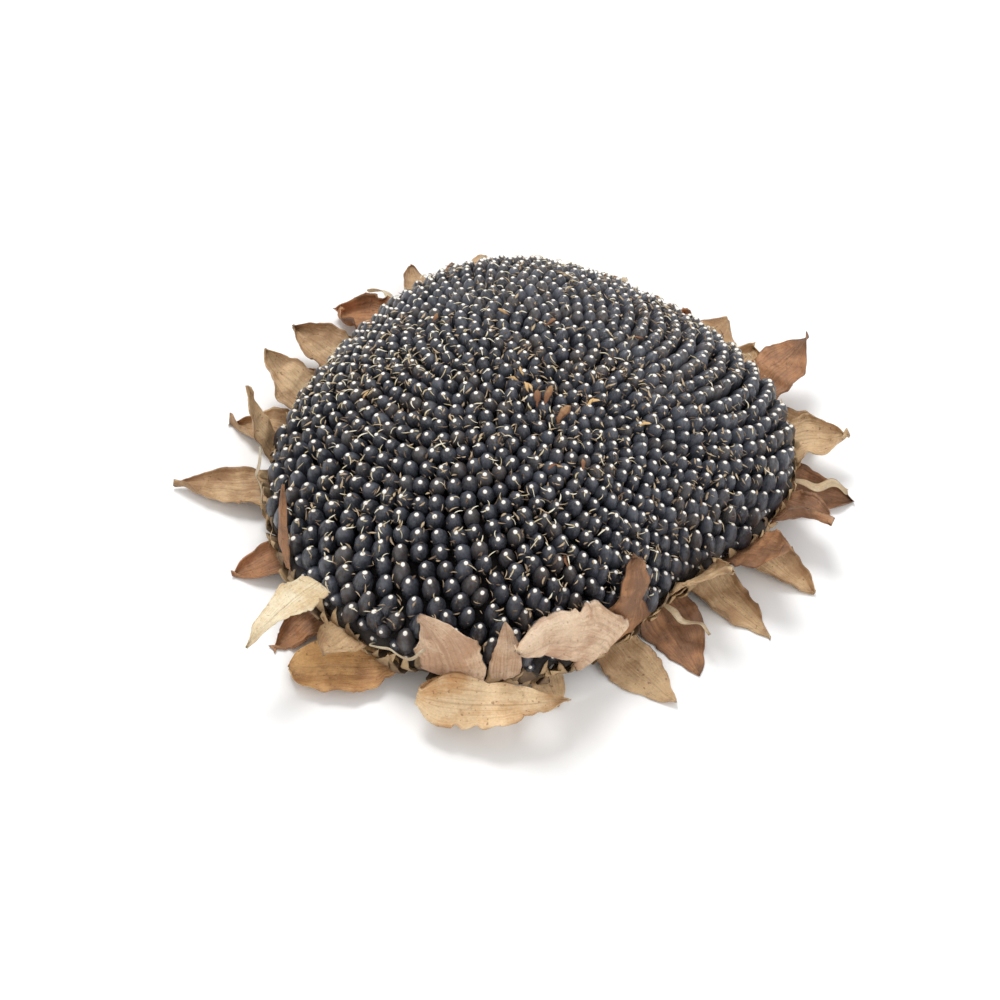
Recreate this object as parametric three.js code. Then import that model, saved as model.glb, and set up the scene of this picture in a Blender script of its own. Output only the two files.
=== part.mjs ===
// A dried sunflower seed head, picked with a short cut stem, lying on its back with its seeds facing up.
// Millimetres, +Z up out of the seed face, -Y to the front. The origin is on the surface that the head
// lies on, under the middle of its bounding box.
import * as THREE from "three";
import { ConvexHull } from "three/addons/math/ConvexHull.js";

// Driving dimensions of the head
const HEAD_RADIUS = 80; // mean radius of the seed face
const DOME_HEIGHT = 36; // rise of the seed face from its edge to its middle
const DOME_POWER = 2.1; // how flat the middle of the dome is: 2 is a parabola
const DOME_ROUND = 0.72; // how steeply its edge rolls over: 1 for not at all
const FACE_EDGE_HEIGHT = 17; // edge of the seed face above the surface
const LOBES = [
  // waves of the outline: count round the head, share of the radius, radians from +X to a crest
  [2, 0.1, 0.93],
  [3, 0.05, 0.15],
  [4, 0.035, 0.22],
];

// Seeds, packed side by side on a spiral
const SEED_COUNT = 950;
const SEED_LENGTH = 10.5;
const SEED_EDGE = 79.3; // mean radius of the outermost seed tips
const SEED_VALLEY = 2.8; // depth of the hollow between three tips
const LONGEST_EDGE = 10; // between tips that are neighbours
const GAP = 0.35; // between neighbouring pieces

// Stem stub, cut off square
const STEM_RADIUS = 8.5;
const STEM_FLARE = 5; // extra radius where it meets the receptacle
const STEM_TOP = 28.7;
const STEM_LEAN = 2.5; // sideways bend of the stub over its length

// Bracts, the dry leaves round the rim, in an upright row and a spread row, and shrivelled petals
const ROW_COUNT = 21;
const PETAL_COUNT = 6;
const BRACT_THICKNESS = 0.9;
const BRACT_STEPS = 6; // quads along a bract
const BRACT_SPANS = 3; // quads across a bract
const PETAL_THICKNESS = 0.7;
const PETAL_STEPS = 8;

const ROUND = 48; // flats round the receptacle
const GOLDEN_ANGLE = Math.PI * (3 - Math.sqrt(5));
const UP = new THREE.Vector3(0, 0, 1);
const radians = THREE.MathUtils.degToRad;

// A repeatable irregularity from -1 to 1 for the n-th piece and its k-th trait.
function vary(n, k) {
  const wave = Math.sin(n * 12.9898 + k * 78.233) * 43758.5453;
  return 2 * (wave - Math.floor(wave)) - 1;
}

// The outline's radius over the mean radius, towards an angle.
function outline(angle) {
  return LOBES.reduce((sum, [count, share, crest]) => sum + share * Math.cos(count * (angle - crest)), 1);
}

// A point at a mean radius towards an angle, moved out or in to the outline. The lobes fade inwards.
function spreadPoint(angle, radius, height = 0) {
  const reach = radius * (1 + (outline(angle) - 1) * Math.min(1, radius / HEAD_RADIUS));
  return new THREE.Vector3(reach * Math.cos(angle), reach * Math.sin(angle), height);
}

// The half-section of the seed face, sunk along its normal by a depth: [radius, height].
function facePoint(radius, depth) {
  const share = radius / HEAD_RADIUS;
  const drop = 1 - share ** DOME_POWER;
  const height = FACE_EDGE_HEIGHT + DOME_HEIGHT * drop ** DOME_ROUND;
  const steepness = DOME_POWER * DOME_ROUND * share ** (DOME_POWER - 1) * drop ** (DOME_ROUND - 1);
  const normal = new THREE.Vector2((DOME_HEIGHT * steepness) / HEAD_RADIUS, 1).normalize();
  return [Math.max(0, radius - depth * normal.x), height - depth * normal.y];
}

function geometryOf(position, index) {
  const geometry = new THREE.BufferGeometry();
  geometry.setAttribute("position", new THREE.Float32BufferAttribute(position, 3));
  geometry.setIndex(index);
  return geometry;
}

function material(colour, roughness) {
  return new THREE.MeshStandardMaterial({ color: colour, roughness, metalness: 0 });
}

const seedBlack = material(0x1d1e24, 0.4);
const fleshBrown = material(0x9a7650, 0.9);
const stemTan = material(0xa88a5e, 0.85);
const bractTan = material(0xc9a678, 0.8);
const bractCream = material(0xe2cda2, 0.8);
const bractBrown = material(0x8c5f3c, 0.8);
const petalStraw = material(0xd8c6a4, 0.8);

const head = new THREE.Group();

function place(name, geometry, surface) {
  const mesh = new THREE.Mesh(geometry, surface);
  mesh.name = name;
  head.add(mesh);
}

// The seeds, as one bed: each seed tip is a peak on the dome, joined to the tips round it through a
// hollow in the middle of each three. Peaks lie on the spiral that a sunflower grows in.
function seedBed() {
  const flat = [];
  const position = [];
  const addPoint = (angle, radius, depth) => {
    const [reach, height] = facePoint(radius, depth);
    position.push(...spreadPoint(angle, reach, height));
  };
  for (const depth of [0, SEED_LENGTH]) {
    for (let n = 0; n < SEED_COUNT; n++) {
      const angle = (n + 1) * GOLDEN_ANGLE;
      const radius = SEED_EDGE * Math.sqrt((n + 0.5) / (SEED_COUNT - 0.5));
      addPoint(angle, radius, depth);
      const [x, y] = [radius * Math.cos(angle), radius * Math.sin(angle)];
      if (!depth) flat.push(new THREE.Vector3(x, y, -(x * x + y * y) / SEED_EDGE));
    }
  }
  const index = [];
  const open = new Map();
  for (const [a, b, c] of neighbours(flat)) {
    const centre = flat[a].clone().add(flat[b]).add(flat[c]).divideScalar(3);
    const valley = position.length / 3;
    addPoint(Math.atan2(centre.y, centre.x), Math.hypot(centre.x, centre.y), SEED_VALLEY);
    for (const [from, to] of [[a, b], [b, c], [c, a]]) {
      index.push(from, to, valley);
      if (!open.delete(to + "," + from)) open.set(from + "," + to, [from, to]);
    }
    index.push(c + SEED_COUNT, b + SEED_COUNT, a + SEED_COUNT);
  }
  for (const [from, to] of open.values()) {
    index.push(to, from, from + SEED_COUNT, to, from + SEED_COUNT, to + SEED_COUNT);
  }
  return geometryOf(position, index);
}

// The threes of points that are each other's neighbours in plan. They are the upper faces of the
// convex hull of the points, which have been dropped onto a downward bowl.
function neighbours(points) {
  const order = new Map(points.map((point, n) => [point, n]));
  const threes = [];
  for (const face of new ConvexHull().setFromPoints(points).faces) {
    const corners = [face.edge.prev, face.edge, face.edge.next].map((edge) => edge.vertex.point);
    const sides = corners.map((p, i) => [p, corners[(i + 1) % 3]]);
    const reach = Math.max(...sides.map(([p, q]) => Math.hypot(p.x - q.x, p.y - q.y)));
    if (face.normal.z > 0 && reach < LONGEST_EDGE) threes.push(corners.map((p) => order.get(p)));
  }
  return threes;
}

// The fleshy disc that the seeds stand on: domed above, hollow below, with a rolled rim for the bracts.
function receptacle() {
  const under = [
    [0, 29.5],
    [18, 29],
    [32, 25.5],
    [46, 19],
    [58, 11.5],
    [66, 7],
    [72, 5.8],
    [75.8, 7.5],
    [77.4, 11],
    [76.6, 14.2],
    [72.5, 14],
  ];
  const top = [];
  for (let i = 8; i >= 0; i--) top.push(facePoint((SEED_EDGE * i) / 8, SEED_LENGTH + 1.5 * GAP));
  const section = [...under, ...top].map(([radius, height]) => new THREE.Vector2(radius, height));
  const geometry = new THREE.LatheGeometry(section, ROUND).rotateX(Math.PI / 2);
  const position = geometry.getAttribute("position");
  for (let i = 0; i < position.count; i++) {
    const [x, y] = [position.getX(i), position.getY(i)];
    const point = spreadPoint(Math.atan2(y, x), Math.hypot(x, y));
    position.setXY(i, point.x, point.y);
  }
  return geometry;
}

// The cut stub: a slightly bent post that flares into the receptacle and stands on its flat cut end.
function stemStub() {
  const rings = 6;
  const section = [new THREE.Vector2(0, 0)];
  for (let i = 0; i <= rings; i++) {
    const share = i / rings;
    section.push(new THREE.Vector2(STEM_RADIUS + STEM_FLARE * share ** 3, STEM_TOP * share));
  }
  section.push(new THREE.Vector2(0, STEM_TOP));
  const geometry = new THREE.LatheGeometry(section, 16).rotateX(Math.PI / 2);
  const position = geometry.getAttribute("position");
  for (let i = 0; i < position.count; i++) {
    const below = 1 - position.getZ(i) / STEM_TOP;
    position.setX(i, position.getX(i) + STEM_LEAN * below ** 2);
  }
  return geometry;
}

// Half the width of a leaf at a share t of its length, for a half-width of 1. A bract is narrower at
// its foot, widest at about a third, and drawn out to a point. A petal is a strap.
const bractWidth = (t) => (0.9 + 1.3 * t) * (1 - t) ** 0.95;
const strapWidth = (t) => 0.55 + 1.8 * t * (1 - t);

// One leaf as a thin closed solid. Its midrib starts at the foot, which is [outside the rim, height]
// towards an angle, and it leaves at an angle above the horizontal that changes by curl over its
// length. It leans and then sweeps sideways within its own plane. Its foot hugs the rim, its edges are
// cupped towards the head, it twists, and where it would dip under the surface it lies on it.
function leaf(shape) {
  const { angle, foot, length, halfWidth, rise, curl, cup, lean, sweep, twist } = shape;
  const { thickness, steps, spans, width } = shape;
  const start = spreadPoint(angle, HEAD_RADIUS);
  const [before, after] = [angle - 1e-3, angle + 1e-3].map((turn) => spreadPoint(turn, HEAD_RADIUS));
  const across = after.sub(before).normalize();
  const out = across.clone().cross(UP);
  const middle = start.clone().addScaledVector(out, foot[0]).addScaledVector(UP, foot[1]);
  const faces = [[], []];
  for (let i = 0; i <= steps; i++) {
    const t = i / steps;
    const tilt = rise + curl * t ** 1.4;
    const turn = lean + sweep * t ** 0.7;
    const ahead = out.clone().multiplyScalar(Math.cos(tilt)).addScaledVector(UP, Math.sin(tilt));
    const normal = out.clone().multiplyScalar(-Math.sin(tilt)).addScaledVector(UP, Math.cos(tilt));
    const tangent = ahead.clone().multiplyScalar(Math.cos(turn)).addScaledVector(across, Math.sin(turn));
    const side = across.clone().multiplyScalar(Math.cos(turn)).addScaledVector(ahead, -Math.sin(turn));
    side.applyAxisAngle(tangent, twist * t);
    normal.applyAxisAngle(tangent, twist * t);
    if (i > 0) middle.addScaledVector(tangent, length / steps);
    const half = Math.max(0.35, halfWidth * width(t));
    for (let j = 0; j <= spans; j++) {
      const u = (2 * j) / spans - 1;
      const rim = spreadPoint(angle + (half * u) / start.length(), HEAD_RADIUS);
      const hug = rim.sub(start).dot(out) * (1 - t);
      const point = middle.clone().addScaledVector(side, half * u);
      point.addScaledVector(normal, cup * half * u * u * t).addScaledVector(out, hug);
      for (const above of [0, 1]) {
        const skin = point.clone().addScaledVector(normal, thickness * (above - 0.5));
        skin.z = Math.max(skin.z, above * thickness);
        faces[above].push(skin);
      }
    }
  }
  return leafSolid(faces, steps + 1, spans + 1);
}

// Closes two grids of points, the underside first, into one solid.
function leafSolid([under, over], rows, columns) {
  const index = [];
  const quad = (a, b, c, d) => index.push(a, b, c, a, c, d);
  const at = (i, j, above) => above * under.length + i * columns + j;
  const lastRow = rows - 1;
  const lastColumn = columns - 1;
  for (let i = 0; i < lastRow; i++) {
    for (let j = 0; j < lastColumn; j++) {
      quad(at(i, j, 1), at(i + 1, j, 1), at(i + 1, j + 1, 1), at(i, j + 1, 1));
      quad(at(i, j, 0), at(i, j + 1, 0), at(i + 1, j + 1, 0), at(i + 1, j, 0));
    }
    quad(at(i, 0, 0), at(i + 1, 0, 0), at(i + 1, 0, 1), at(i, 0, 1));
    quad(at(i, lastColumn, 1), at(i + 1, lastColumn, 1), at(i + 1, lastColumn, 0), at(i, lastColumn, 0));
  }
  for (let j = 0; j < lastColumn; j++) {
    quad(at(0, j, 1), at(0, j + 1, 1), at(0, j + 1, 0), at(0, j, 0));
    quad(at(lastRow, j, 0), at(lastRow, j + 1, 0), at(lastRow, j + 1, 1), at(lastRow, j, 1));
  }
  return geometryOf([...under, ...over].flatMap((point) => point.toArray()), index);
}

const rowAngle = (n) => (n * 2 * Math.PI) / ROW_COUNT;
const bractGrid = { thickness: BRACT_THICKNESS, steps: BRACT_STEPS, spans: BRACT_SPANS, width: bractWidth };
const petalGrid = { thickness: PETAL_THICKNESS, steps: PETAL_STEPS, spans: 1, width: strapWidth };

// The upright row hugs the outermost seeds in front, and is shorter and bent back round the far side.
function uprightBract(n) {
  const angle = rowAngle(n + 0.08 * vary(n, 1));
  return {
    ...bractGrid,
    angle,
    foot: [0.4, 9.6],
    length: 22.5 - 5 * Math.sin(angle) + 2.5 * vary(n, 2),
    halfWidth: 10 + 1.2 * vary(n, 3),
    rise: radians(24 - 54 * Math.sin(angle) + 5 * vary(n, 4)),
    curl: radians(2 + 20 * vary(n, 5)),
    cup: 0.2 + 0.08 * vary(n, 6),
    lean: 0,
    sweep: radians(12 * vary(n, 7)),
    twist: radians(8 * vary(n, 8)),
    surface: n % 4 ? bractTan : bractBrown,
  };
}

// The spread row leaves from under the rim, droops to the surface and lies out along it.
function spreadBract(n) {
  const angle = rowAngle(n + 0.5 + 0.08 * vary(n, 11));
  return {
    ...bractGrid,
    angle,
    foot: [-2.8, 4.4],
    length: 26 - 6 * Math.sin(angle) + 3 * vary(n, 12),
    halfWidth: 9.6 + 1.2 * vary(n, 13),
    rise: radians(-15 + 4 * vary(n, 14)),
    curl: radians(8 + 22 * vary(n, 15)),
    cup: 0.2 + 0.12 * vary(n, 16),
    lean: 0,
    sweep: radians(12 * vary(n, 17)),
    twist: radians(8 * vary(n, 18)),
    surface: n % 3 ? bractTan : bractBrown,
  };
}

// The bracts at the front have shapes of their own, by their number in the row. Angles are in degrees.
const UPRIGHT_FRONT = {
  2: { length: 24, rise: 30, surface: bractBrown },
  11: { halfWidth: 6, length: 26, rise: 52, sweep: -16, curl: 30 },
  12: { angle: 221, foot: [0.6, 11], halfWidth: 3.5, length: 34, rise: 82, sweep: -14, twist: 20 },
  13: {
    angle: 232, foot: [1.2, 20], halfWidth: 6.2, length: 33, rise: 16, curl: -26, cup: 0.5, lean: 13,
    surface: bractCream,
  },
  14: { halfWidth: 8, length: 15, rise: 34, curl: -34 },
  15: { angle: 262.5, foot: [0.6, 12], halfWidth: 11, length: 31, rise: 86, curl: 8, lean: 8, sweep: -50 },
  16: { angle: 273, foot: [0.6, 11.5], halfWidth: 5.2, length: 30, rise: 83, curl: 10, sweep: -10 },
  17: { angle: 294, foot: [3.6, 14], halfWidth: 10, length: 43, rise: 93, curl: 8, lean: -24, sweep: -55 },
  18: { angle: 304, foot: [1, 9.6], halfWidth: 11, length: 31, rise: 87, curl: 24, surface: bractBrown },
};
const SPREAD_FRONT = {
  11: { length: 33 },
  12: { halfWidth: 7, length: 18, rise: -22 },
  13: { halfWidth: 8, length: 20, rise: -20, surface: bractBrown },
  14: { angle: 250, foot: [0, 5.2], halfWidth: 8, length: 29, rise: -12, lean: -56, sweep: -8 },
  15: {
    angle: 258, foot: [10.8, 11.4], halfWidth: 8.6, length: 45, rise: -34, lean: 90, sweep: 26,
    surface: bractCream,
  },
  16: { halfWidth: 6, length: 11, rise: -26 },
};
const PETAL_FRONT = {
  3: { angle: 204, foot: [2, 11], halfWidth: 0.8, length: 22, rise: 82, curl: 10, sweep: -10, twist: 30 },
  4: { angle: 247, foot: [3, 15.5], halfWidth: 0.8, length: 22, rise: 76, curl: 10, lean: 70, sweep: 10 },
};
const DEGREE_TRAITS = ["angle", "rise", "curl", "lean", "sweep", "twist"];
const inRadians = ([trait, value]) => [trait, DEGREE_TRAITS.includes(trait) ? radians(value) : value];
const own = (shape = {}) => Object.fromEntries(Object.entries(shape).map(inRadians));

// A few petals are left, shrivelled to straws that stand out between the two rows.
function petal(n) {
  const angle = rowAngle(Math.round((n * ROW_COUNT) / PETAL_COUNT) + 0.5);
  return {
    ...petalGrid,
    angle,
    foot: [1.2, 7.9],
    length: 20 + 3 * vary(n, 22),
    halfWidth: 1.6 + 0.3 * vary(n, 23),
    rise: radians(-6 - 14 * Math.sin(angle) + 5 * vary(n, 24)),
    curl: radians(4 - 16 * Math.sin(angle) + 16 * vary(n, 25)),
    cup: 0,
    lean: 0,
    sweep: radians(30 * vary(n, 27)),
    twist: radians(60 * vary(n, 28)),
    surface: petalStraw,
  };
}

place("seeds", seedBed(), seedBlack);
place("receptacle", receptacle(), fleshBrown);
place("stem_stub", stemStub(), stemTan);

const numbered = (name, n) => name + "_" + String(n + 1).padStart(2, "0");
for (let n = 0; n < ROW_COUNT; n++) {
  const upright = { ...uprightBract(n), ...own(UPRIGHT_FRONT[n]) };
  const spread = { ...spreadBract(n), ...own(SPREAD_FRONT[n]) };
  place(numbered("upright_bract", n), leaf(upright), upright.surface);
  place(numbered("spread_bract", n), leaf(spread), spread.surface);
}
for (let n = 0; n < PETAL_COUNT; n++) {
  place(numbered("petal", n), leaf({ ...petal(n), ...own(PETAL_FRONT[n]) }), petalStraw);
}

// Puts the origin under the middle of the bounding box, on the surface.
const box = new THREE.Box3().setFromObject(head);
const middle = box.getCenter(new THREE.Vector3());
head.position.set(-middle.x, -middle.y, -box.min.z);

const sunflowerSeedHead = new THREE.Group();
sunflowerSeedHead.add(head);

export default sunflowerSeedHead;
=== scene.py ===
"""A dried sunflower seed head on its back on a pale table: separate glossy black seeds on a domed,
spongy disc, pale dried florets among them, papery bracts and shrivelled petals round the rim, and a
short cut stem underneath. Shapes are worked out in millimetres about the middle of the seed spiral."""

import bpy
import numpy as np
from mathutils import Matrix, Vector


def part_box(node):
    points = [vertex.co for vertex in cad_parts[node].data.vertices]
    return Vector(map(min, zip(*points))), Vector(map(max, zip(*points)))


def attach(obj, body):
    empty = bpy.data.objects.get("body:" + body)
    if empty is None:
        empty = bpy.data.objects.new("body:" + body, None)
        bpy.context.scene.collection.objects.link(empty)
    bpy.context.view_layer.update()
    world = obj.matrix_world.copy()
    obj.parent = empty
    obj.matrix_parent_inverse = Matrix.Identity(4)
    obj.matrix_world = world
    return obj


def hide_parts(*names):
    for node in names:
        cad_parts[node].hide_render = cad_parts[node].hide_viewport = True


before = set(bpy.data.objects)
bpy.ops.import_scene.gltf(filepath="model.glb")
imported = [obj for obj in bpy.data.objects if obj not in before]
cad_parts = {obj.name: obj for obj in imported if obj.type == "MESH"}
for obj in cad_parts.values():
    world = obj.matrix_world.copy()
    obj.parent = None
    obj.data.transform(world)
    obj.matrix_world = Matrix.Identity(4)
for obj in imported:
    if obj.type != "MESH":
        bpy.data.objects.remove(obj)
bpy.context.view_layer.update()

MM = 0.001
GOLDEN_ANGLE = np.pi * (3 - 5 ** 0.5)
UP = np.array([0.0, 0.0, 1.0])

# The head's own measures, the same as the frame's
HEAD_RADIUS = 80.0
DOME_HEIGHT = 36.0
DOME_POWER = 2.1
DOME_ROUND = 0.72
FACE_EDGE_HEIGHT = 17.0
LOBES = ((2, 0.1, 0.93), (3, 0.05, 0.15), (4, 0.035, 0.22))  # number, share of the radius, crest
SEED_COUNT = 950
SEED_LENGTH = 10.5
SEED_EDGE = 79.3
EDGE_SEEDS = 130  # small ones past the edge of the face
CRUMB_COUNT = 4600
FRINGE_COUNT = 230
ROW_COUNT = 21
PETAL_COUNT = 6
STEM_RADIUS = 8.5
STEM_TOP = 28.7
STEM_LEAN = 2.5
LEAF_GRID = (66, 37)  # rows along a leaf and columns across it
PETAL_GRID = (60, 9)
LEAF_THICKNESS = 0.9
PETAL_THICKNESS = 0.6


# ------------------------ the head's form

def vary(n, k):
    """A repeatable irregularity from -1 to 1 for the n-th piece and its k-th trait: the fraction of a
    large multiple of a sine."""
    wave = np.sin(n * 12.9898 + k * 78.233) * 43758.5453
    return 2 * (wave - np.floor(wave)) - 1


def outline(angle):
    """The outline's radius over the mean radius: one plus a cosine wave for each lobe."""
    return 1 + sum(share * np.cos(count * (angle - crest)) for count, share, crest in LOBES)


def spread(angle, radius, height):
    """Points at a mean radius towards an angle, moved to the outline by lobes that fade inwards."""
    angle, radius, height = np.broadcast_arrays(np.asarray(angle, float), radius, height)
    reach = radius * (1 + (outline(angle) - 1) * np.minimum(1, radius / HEAD_RADIUS))
    return np.stack([reach * np.cos(angle), reach * np.sin(angle), height], -1)


def face_section(radius, depth):
    """Half-section of the dome, H(1 - (r/R)^p)^q above its edge, sunk along its normal by a depth."""
    share = np.minimum(radius / HEAD_RADIUS, 0.998)
    drop = 1 - share ** DOME_POWER
    height = FACE_EDGE_HEIGHT + DOME_HEIGHT * drop ** DOME_ROUND
    slope = DOME_HEIGHT * DOME_POWER * DOME_ROUND * share ** (DOME_POWER - 1)
    slope = slope * drop ** (DOME_ROUND - 1) / HEAD_RADIUS
    length = np.hypot(slope, 1)
    return radius - depth * slope / length, height - depth / length


def unit(vectors):
    return vectors / np.maximum(np.linalg.norm(vectors, axis=-1, keepdims=True), 1e-9)


def turned(first, second, turn):
    """Two directions square to each other, both turned by an angle from the first to the second."""
    return first * np.cos(turn) + second * np.sin(turn), second * np.cos(turn) - first * np.sin(turn)


def smooth(low, high, value):
    """0 at low and past it, 1 at high and past it, and a cubic ease between. Either may be larger."""
    share = np.clip((value - low) / (high - low), 0, 1)
    return share * share * (3 - 2 * share)


LATTICE = np.random.default_rng(7).uniform(-1, 1, (32, 32, 32))


def noise(points, size, seed=0, octaves=2):
    """Soft lumps about size millimetres across, from -1 to 1: random values on a cubic lattice, eased
    from each to the next, with octaves of half the size and half the strength added."""
    total, strength = 0.0, 1.0
    for octave in range(octaves):
        place = points / size * 2 ** octave + seed * 7.31 + octave * 3.7
        cell = np.floor(place).astype(int)
        share = place - cell
        share = share * share * (3 - 2 * share)
        value = 0.0
        for corner in np.ndindex(2, 2, 2):
            at = (cell + corner) % 32
            weight = np.prod(np.where(corner, share, 1 - share), -1)
            value = value + weight * LATTICE[at[..., 0], at[..., 1], at[..., 2]]
        total = total + strength * value
        strength *= 0.5
    return total


def seed_places():
    """The seeds' angles and mean radii: the golden angle apart, at radii that grow as a square root."""
    n = np.arange(SEED_COUNT)
    return (n + 1) * GOLDEN_ANGLE, SEED_EDGE * np.sqrt((n + 0.5) / (SEED_COUNT - 0.5))


def seed_tips():
    """Tip of each seed and the outward axis there, square to the dome."""
    angle, radius = seed_places()
    tips = spread(angle, *face_section(radius, 0.0))
    return tips, unit(tips - spread(angle, *face_section(radius, SEED_LENGTH)))


# The frame's origin is under the middle of the box, so everything moves there from the spiral's middle.
SHIFT = np.array(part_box("seeds")[0])[:2] / MM - seed_tips()[0][:, :2].min(0)
SHIFT = np.array([SHIFT[0], SHIFT[1], 0.0])


# ------------------------ meshes

def make_piece(name, points, faces, slot, nodes=(), uv=None, attributes=None, material=None):
    """A mesh piece from millimetre points and a list of face index arrays, one array for each number
    of corners. Corner uv is looked up by point. Attributes hold one value or vector for each point.
    Its material is the slot's, unless it has one of its own."""
    mesh = bpy.data.meshes.new(name)
    points = (np.asarray(points, float).reshape(-1, 3) + SHIFT) * MM
    corners = np.concatenate([f.ravel() for f in faces])
    sizes = np.concatenate([np.full(len(f), f.shape[1]) for f in faces])
    mesh.vertices.add(len(points))
    mesh.vertices.foreach_set("co", points.astype(np.float32).ravel())
    mesh.loops.add(len(corners))
    mesh.loops.foreach_set("vertex_index", corners.astype(np.int32))
    mesh.polygons.add(len(sizes))
    starts = np.concatenate([[0], np.cumsum(sizes)[:-1]])
    mesh.polygons.foreach_set("loop_start", starts.astype(np.int32))
    mesh.update(calc_edges=True)
    mesh.polygons.foreach_set("use_smooth", np.ones(len(sizes), bool))
    if uv is not None:
        layer = mesh.uv_layers.new(name="leaf")
        layer.data.foreach_set("uv", uv.reshape(-1, 2)[corners].astype(np.float32).ravel())
    for key, values in (attributes or {}).items():
        values = np.asarray(values, np.float32)
        kind, field = ("FLOAT_VECTOR", "vector") if values.ndim > 1 else ("FLOAT", "value")
        mesh.attributes.new(key, kind, "POINT").data.foreach_set(field, values.ravel())
    mesh.validate()
    piece = bpy.data.objects.new(name, mesh)
    bpy.context.scene.collection.objects.link(piece)
    mesh.materials.append(material or MATERIALS[slot])
    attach(piece, "root")
    if nodes:
        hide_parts(*nodes)


def rings_faces(rings, around, count=1):
    """Faces of count closed forms, each a pole, rings of points and a pole, numbered in that order.
    They look outwards where the rings turn anticlockwise seen from the first pole."""
    each = rings * around + 2
    j = np.arange(around)
    k = (j + 1) % around
    first = np.stack([np.zeros(around, int), 1 + j, 1 + k], 1)
    base = 1 + np.arange(rings - 1)[:, None] * around
    sides = np.stack([base + j, base + around + j, base + around + k, base + k], -1).reshape(-1, 4)
    last_ring = 1 + (rings - 1) * around
    last = np.stack([np.full(around, each - 1), last_ring + k, last_ring + j], 1)
    shift = (np.arange(count) * each)[:, None, None]
    poles = (np.concatenate([first, last])[None] + shift).reshape(-1, 3)
    return [(sides[None] + shift).reshape(-1, 4), poles]


def frames_for(axes, turn):
    """Two directions square to each axis and each other, turned about it."""
    side = unit(np.cross(np.broadcast_to([0.31, 0.2, 0.93], axes.shape), axes))
    return turned(side, np.cross(axes, side), turn[:, None])


def lathe_form(radii, depths, around):
    """Local points of a turned form: its first pole, rings at the given radii and depths below it,
    and its last pole. Depths rise away from the first pole."""
    turn = np.arange(around) * 2 * np.pi / around
    wide, deep = radii[1:-1, None], depths[1:-1, None]
    rings = np.stack(np.broadcast_arrays(wide * np.cos(turn), wide * np.sin(turn), -deep), -1)
    return np.concatenate([[[0, 0, -depths[0]]], rings.reshape(-1, 3), [[0, 0, -depths[-1]]]])


def worm_points(paths, widths, around, flatness=0.55, broad=None):
    """Points of closed forms along paths (form, step, 3): a pole at each end and an oval ring of a
    given half width (form, step) round each step between, square to the path and broad one way."""
    ahead = unit(np.gradient(paths, axis=1))
    if broad is None:
        broad = np.cross(ahead, np.broadcast_to([0.13, 0.21, 0.97], ahead.shape))
    other = unit(np.cross(broad, ahead))
    side = np.cross(ahead, other)
    turn = np.arange(around) * 2 * np.pi / around
    ring = side[:, :, None] * np.cos(turn)[:, None]
    ring = ring + other[:, :, None] * flatness * np.sin(turn)[:, None]
    rings = paths[:, :, None] + ring * widths[:, :, None, None]
    inner = rings[:, 1:-1].reshape(len(paths), -1, 3)
    return np.concatenate([paths[:, :1], inner, paths[:, -1:]], 1)


def make_worms(name, points, steps, around, slot, material, stretch=1.0, start=0.0):
    """A piece of the forms that worm_points gives. Its attribute along runs from 0 at each form's root
    to 1 at its point, times stretch, plus the form's own start."""
    share = np.linspace(0, 1, steps)
    along = np.concatenate([[0], np.repeat(share[1:-1], around), [1]])
    count = len(points)
    along = stretch * np.tile(along, count) + np.repeat(np.broadcast_to(start, count), len(along))
    faces = rings_faces(steps - 2, around, count)
    make_piece(name, points, faces, slot, attributes={"along": along}, material=material)


# ------------------------ materials

def add_node(tree, kind, inputs=None, **settings):
    """A shader node with its settings and inputs; an input is a value or another node's output."""
    item = tree.nodes.new(kind)
    for key, value in settings.items():
        setattr(item, key, value)
    for key, value in (inputs or {}).items():
        if isinstance(value, bpy.types.NodeSocket):
            tree.links.new(value, item.inputs[key])
        else:
            item.inputs[key].default_value = value
    return item


def maths(tree, operation, first, second=0.0, third=0.0):
    inputs = {0: first, 1: second, 2: third}
    return add_node(tree, "ShaderNodeMath", inputs, operation=operation).outputs[0]


def blend(tree, share, first, second, kind="MIX"):
    """A mix of two colours. Sockets 6 and 7 of a Mix node take its colours, and its output 2 gives one."""
    inputs = {0: share, 6: first, 7: second}
    return add_node(tree, "ShaderNodeMix", inputs, data_type="RGBA", blend_type=kind).outputs[2]


def ramp(tree, value, low, high, start=0.0, end=1.0):
    inputs = {"Value": value, "From Min": low, "From Max": high, "To Min": start, "To Max": end}
    return add_node(tree, "ShaderNodeMapRange", inputs, interpolation_type="SMOOTHSTEP").outputs[0]


def texture_noise(tree, vector, scale, detail, roughness=0.5):
    inputs = {"Vector": vector, "Scale": scale, "Detail": detail, "Roughness": roughness}
    return add_node(tree, "ShaderNodeTexNoise", inputs).outputs["Fac"]


def stretched(tree, vector, scale):
    return add_node(tree, "ShaderNodeMapping", {"Vector": vector, "Scale": scale}).outputs[0]


def rgb(red, green, blue):
    return (red, green, blue, 1.0)


def make_group(name, inputs, outputs, build):
    """A node group with named sockets. build gets its tree and its inputs, and returns its outputs."""
    group = bpy.data.node_groups.new(name, "ShaderNodeTree")
    for key, kind in inputs.items():
        group.interface.new_socket(key, in_out="INPUT", socket_type="NodeSocket" + kind)
    for key, kind in outputs.items():
        group.interface.new_socket(key, in_out="OUTPUT", socket_type="NodeSocket" + kind)
    entry = group.nodes.new("NodeGroupInput")
    leave = group.nodes.new("NodeGroupOutput")
    results = build(group, {key: entry.outputs[key] for key in inputs})
    for key in outputs:
        group.links.new(results[key], leave.inputs[key])
    return group


VEINS = 11  # parallel veins across a leaf


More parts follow.
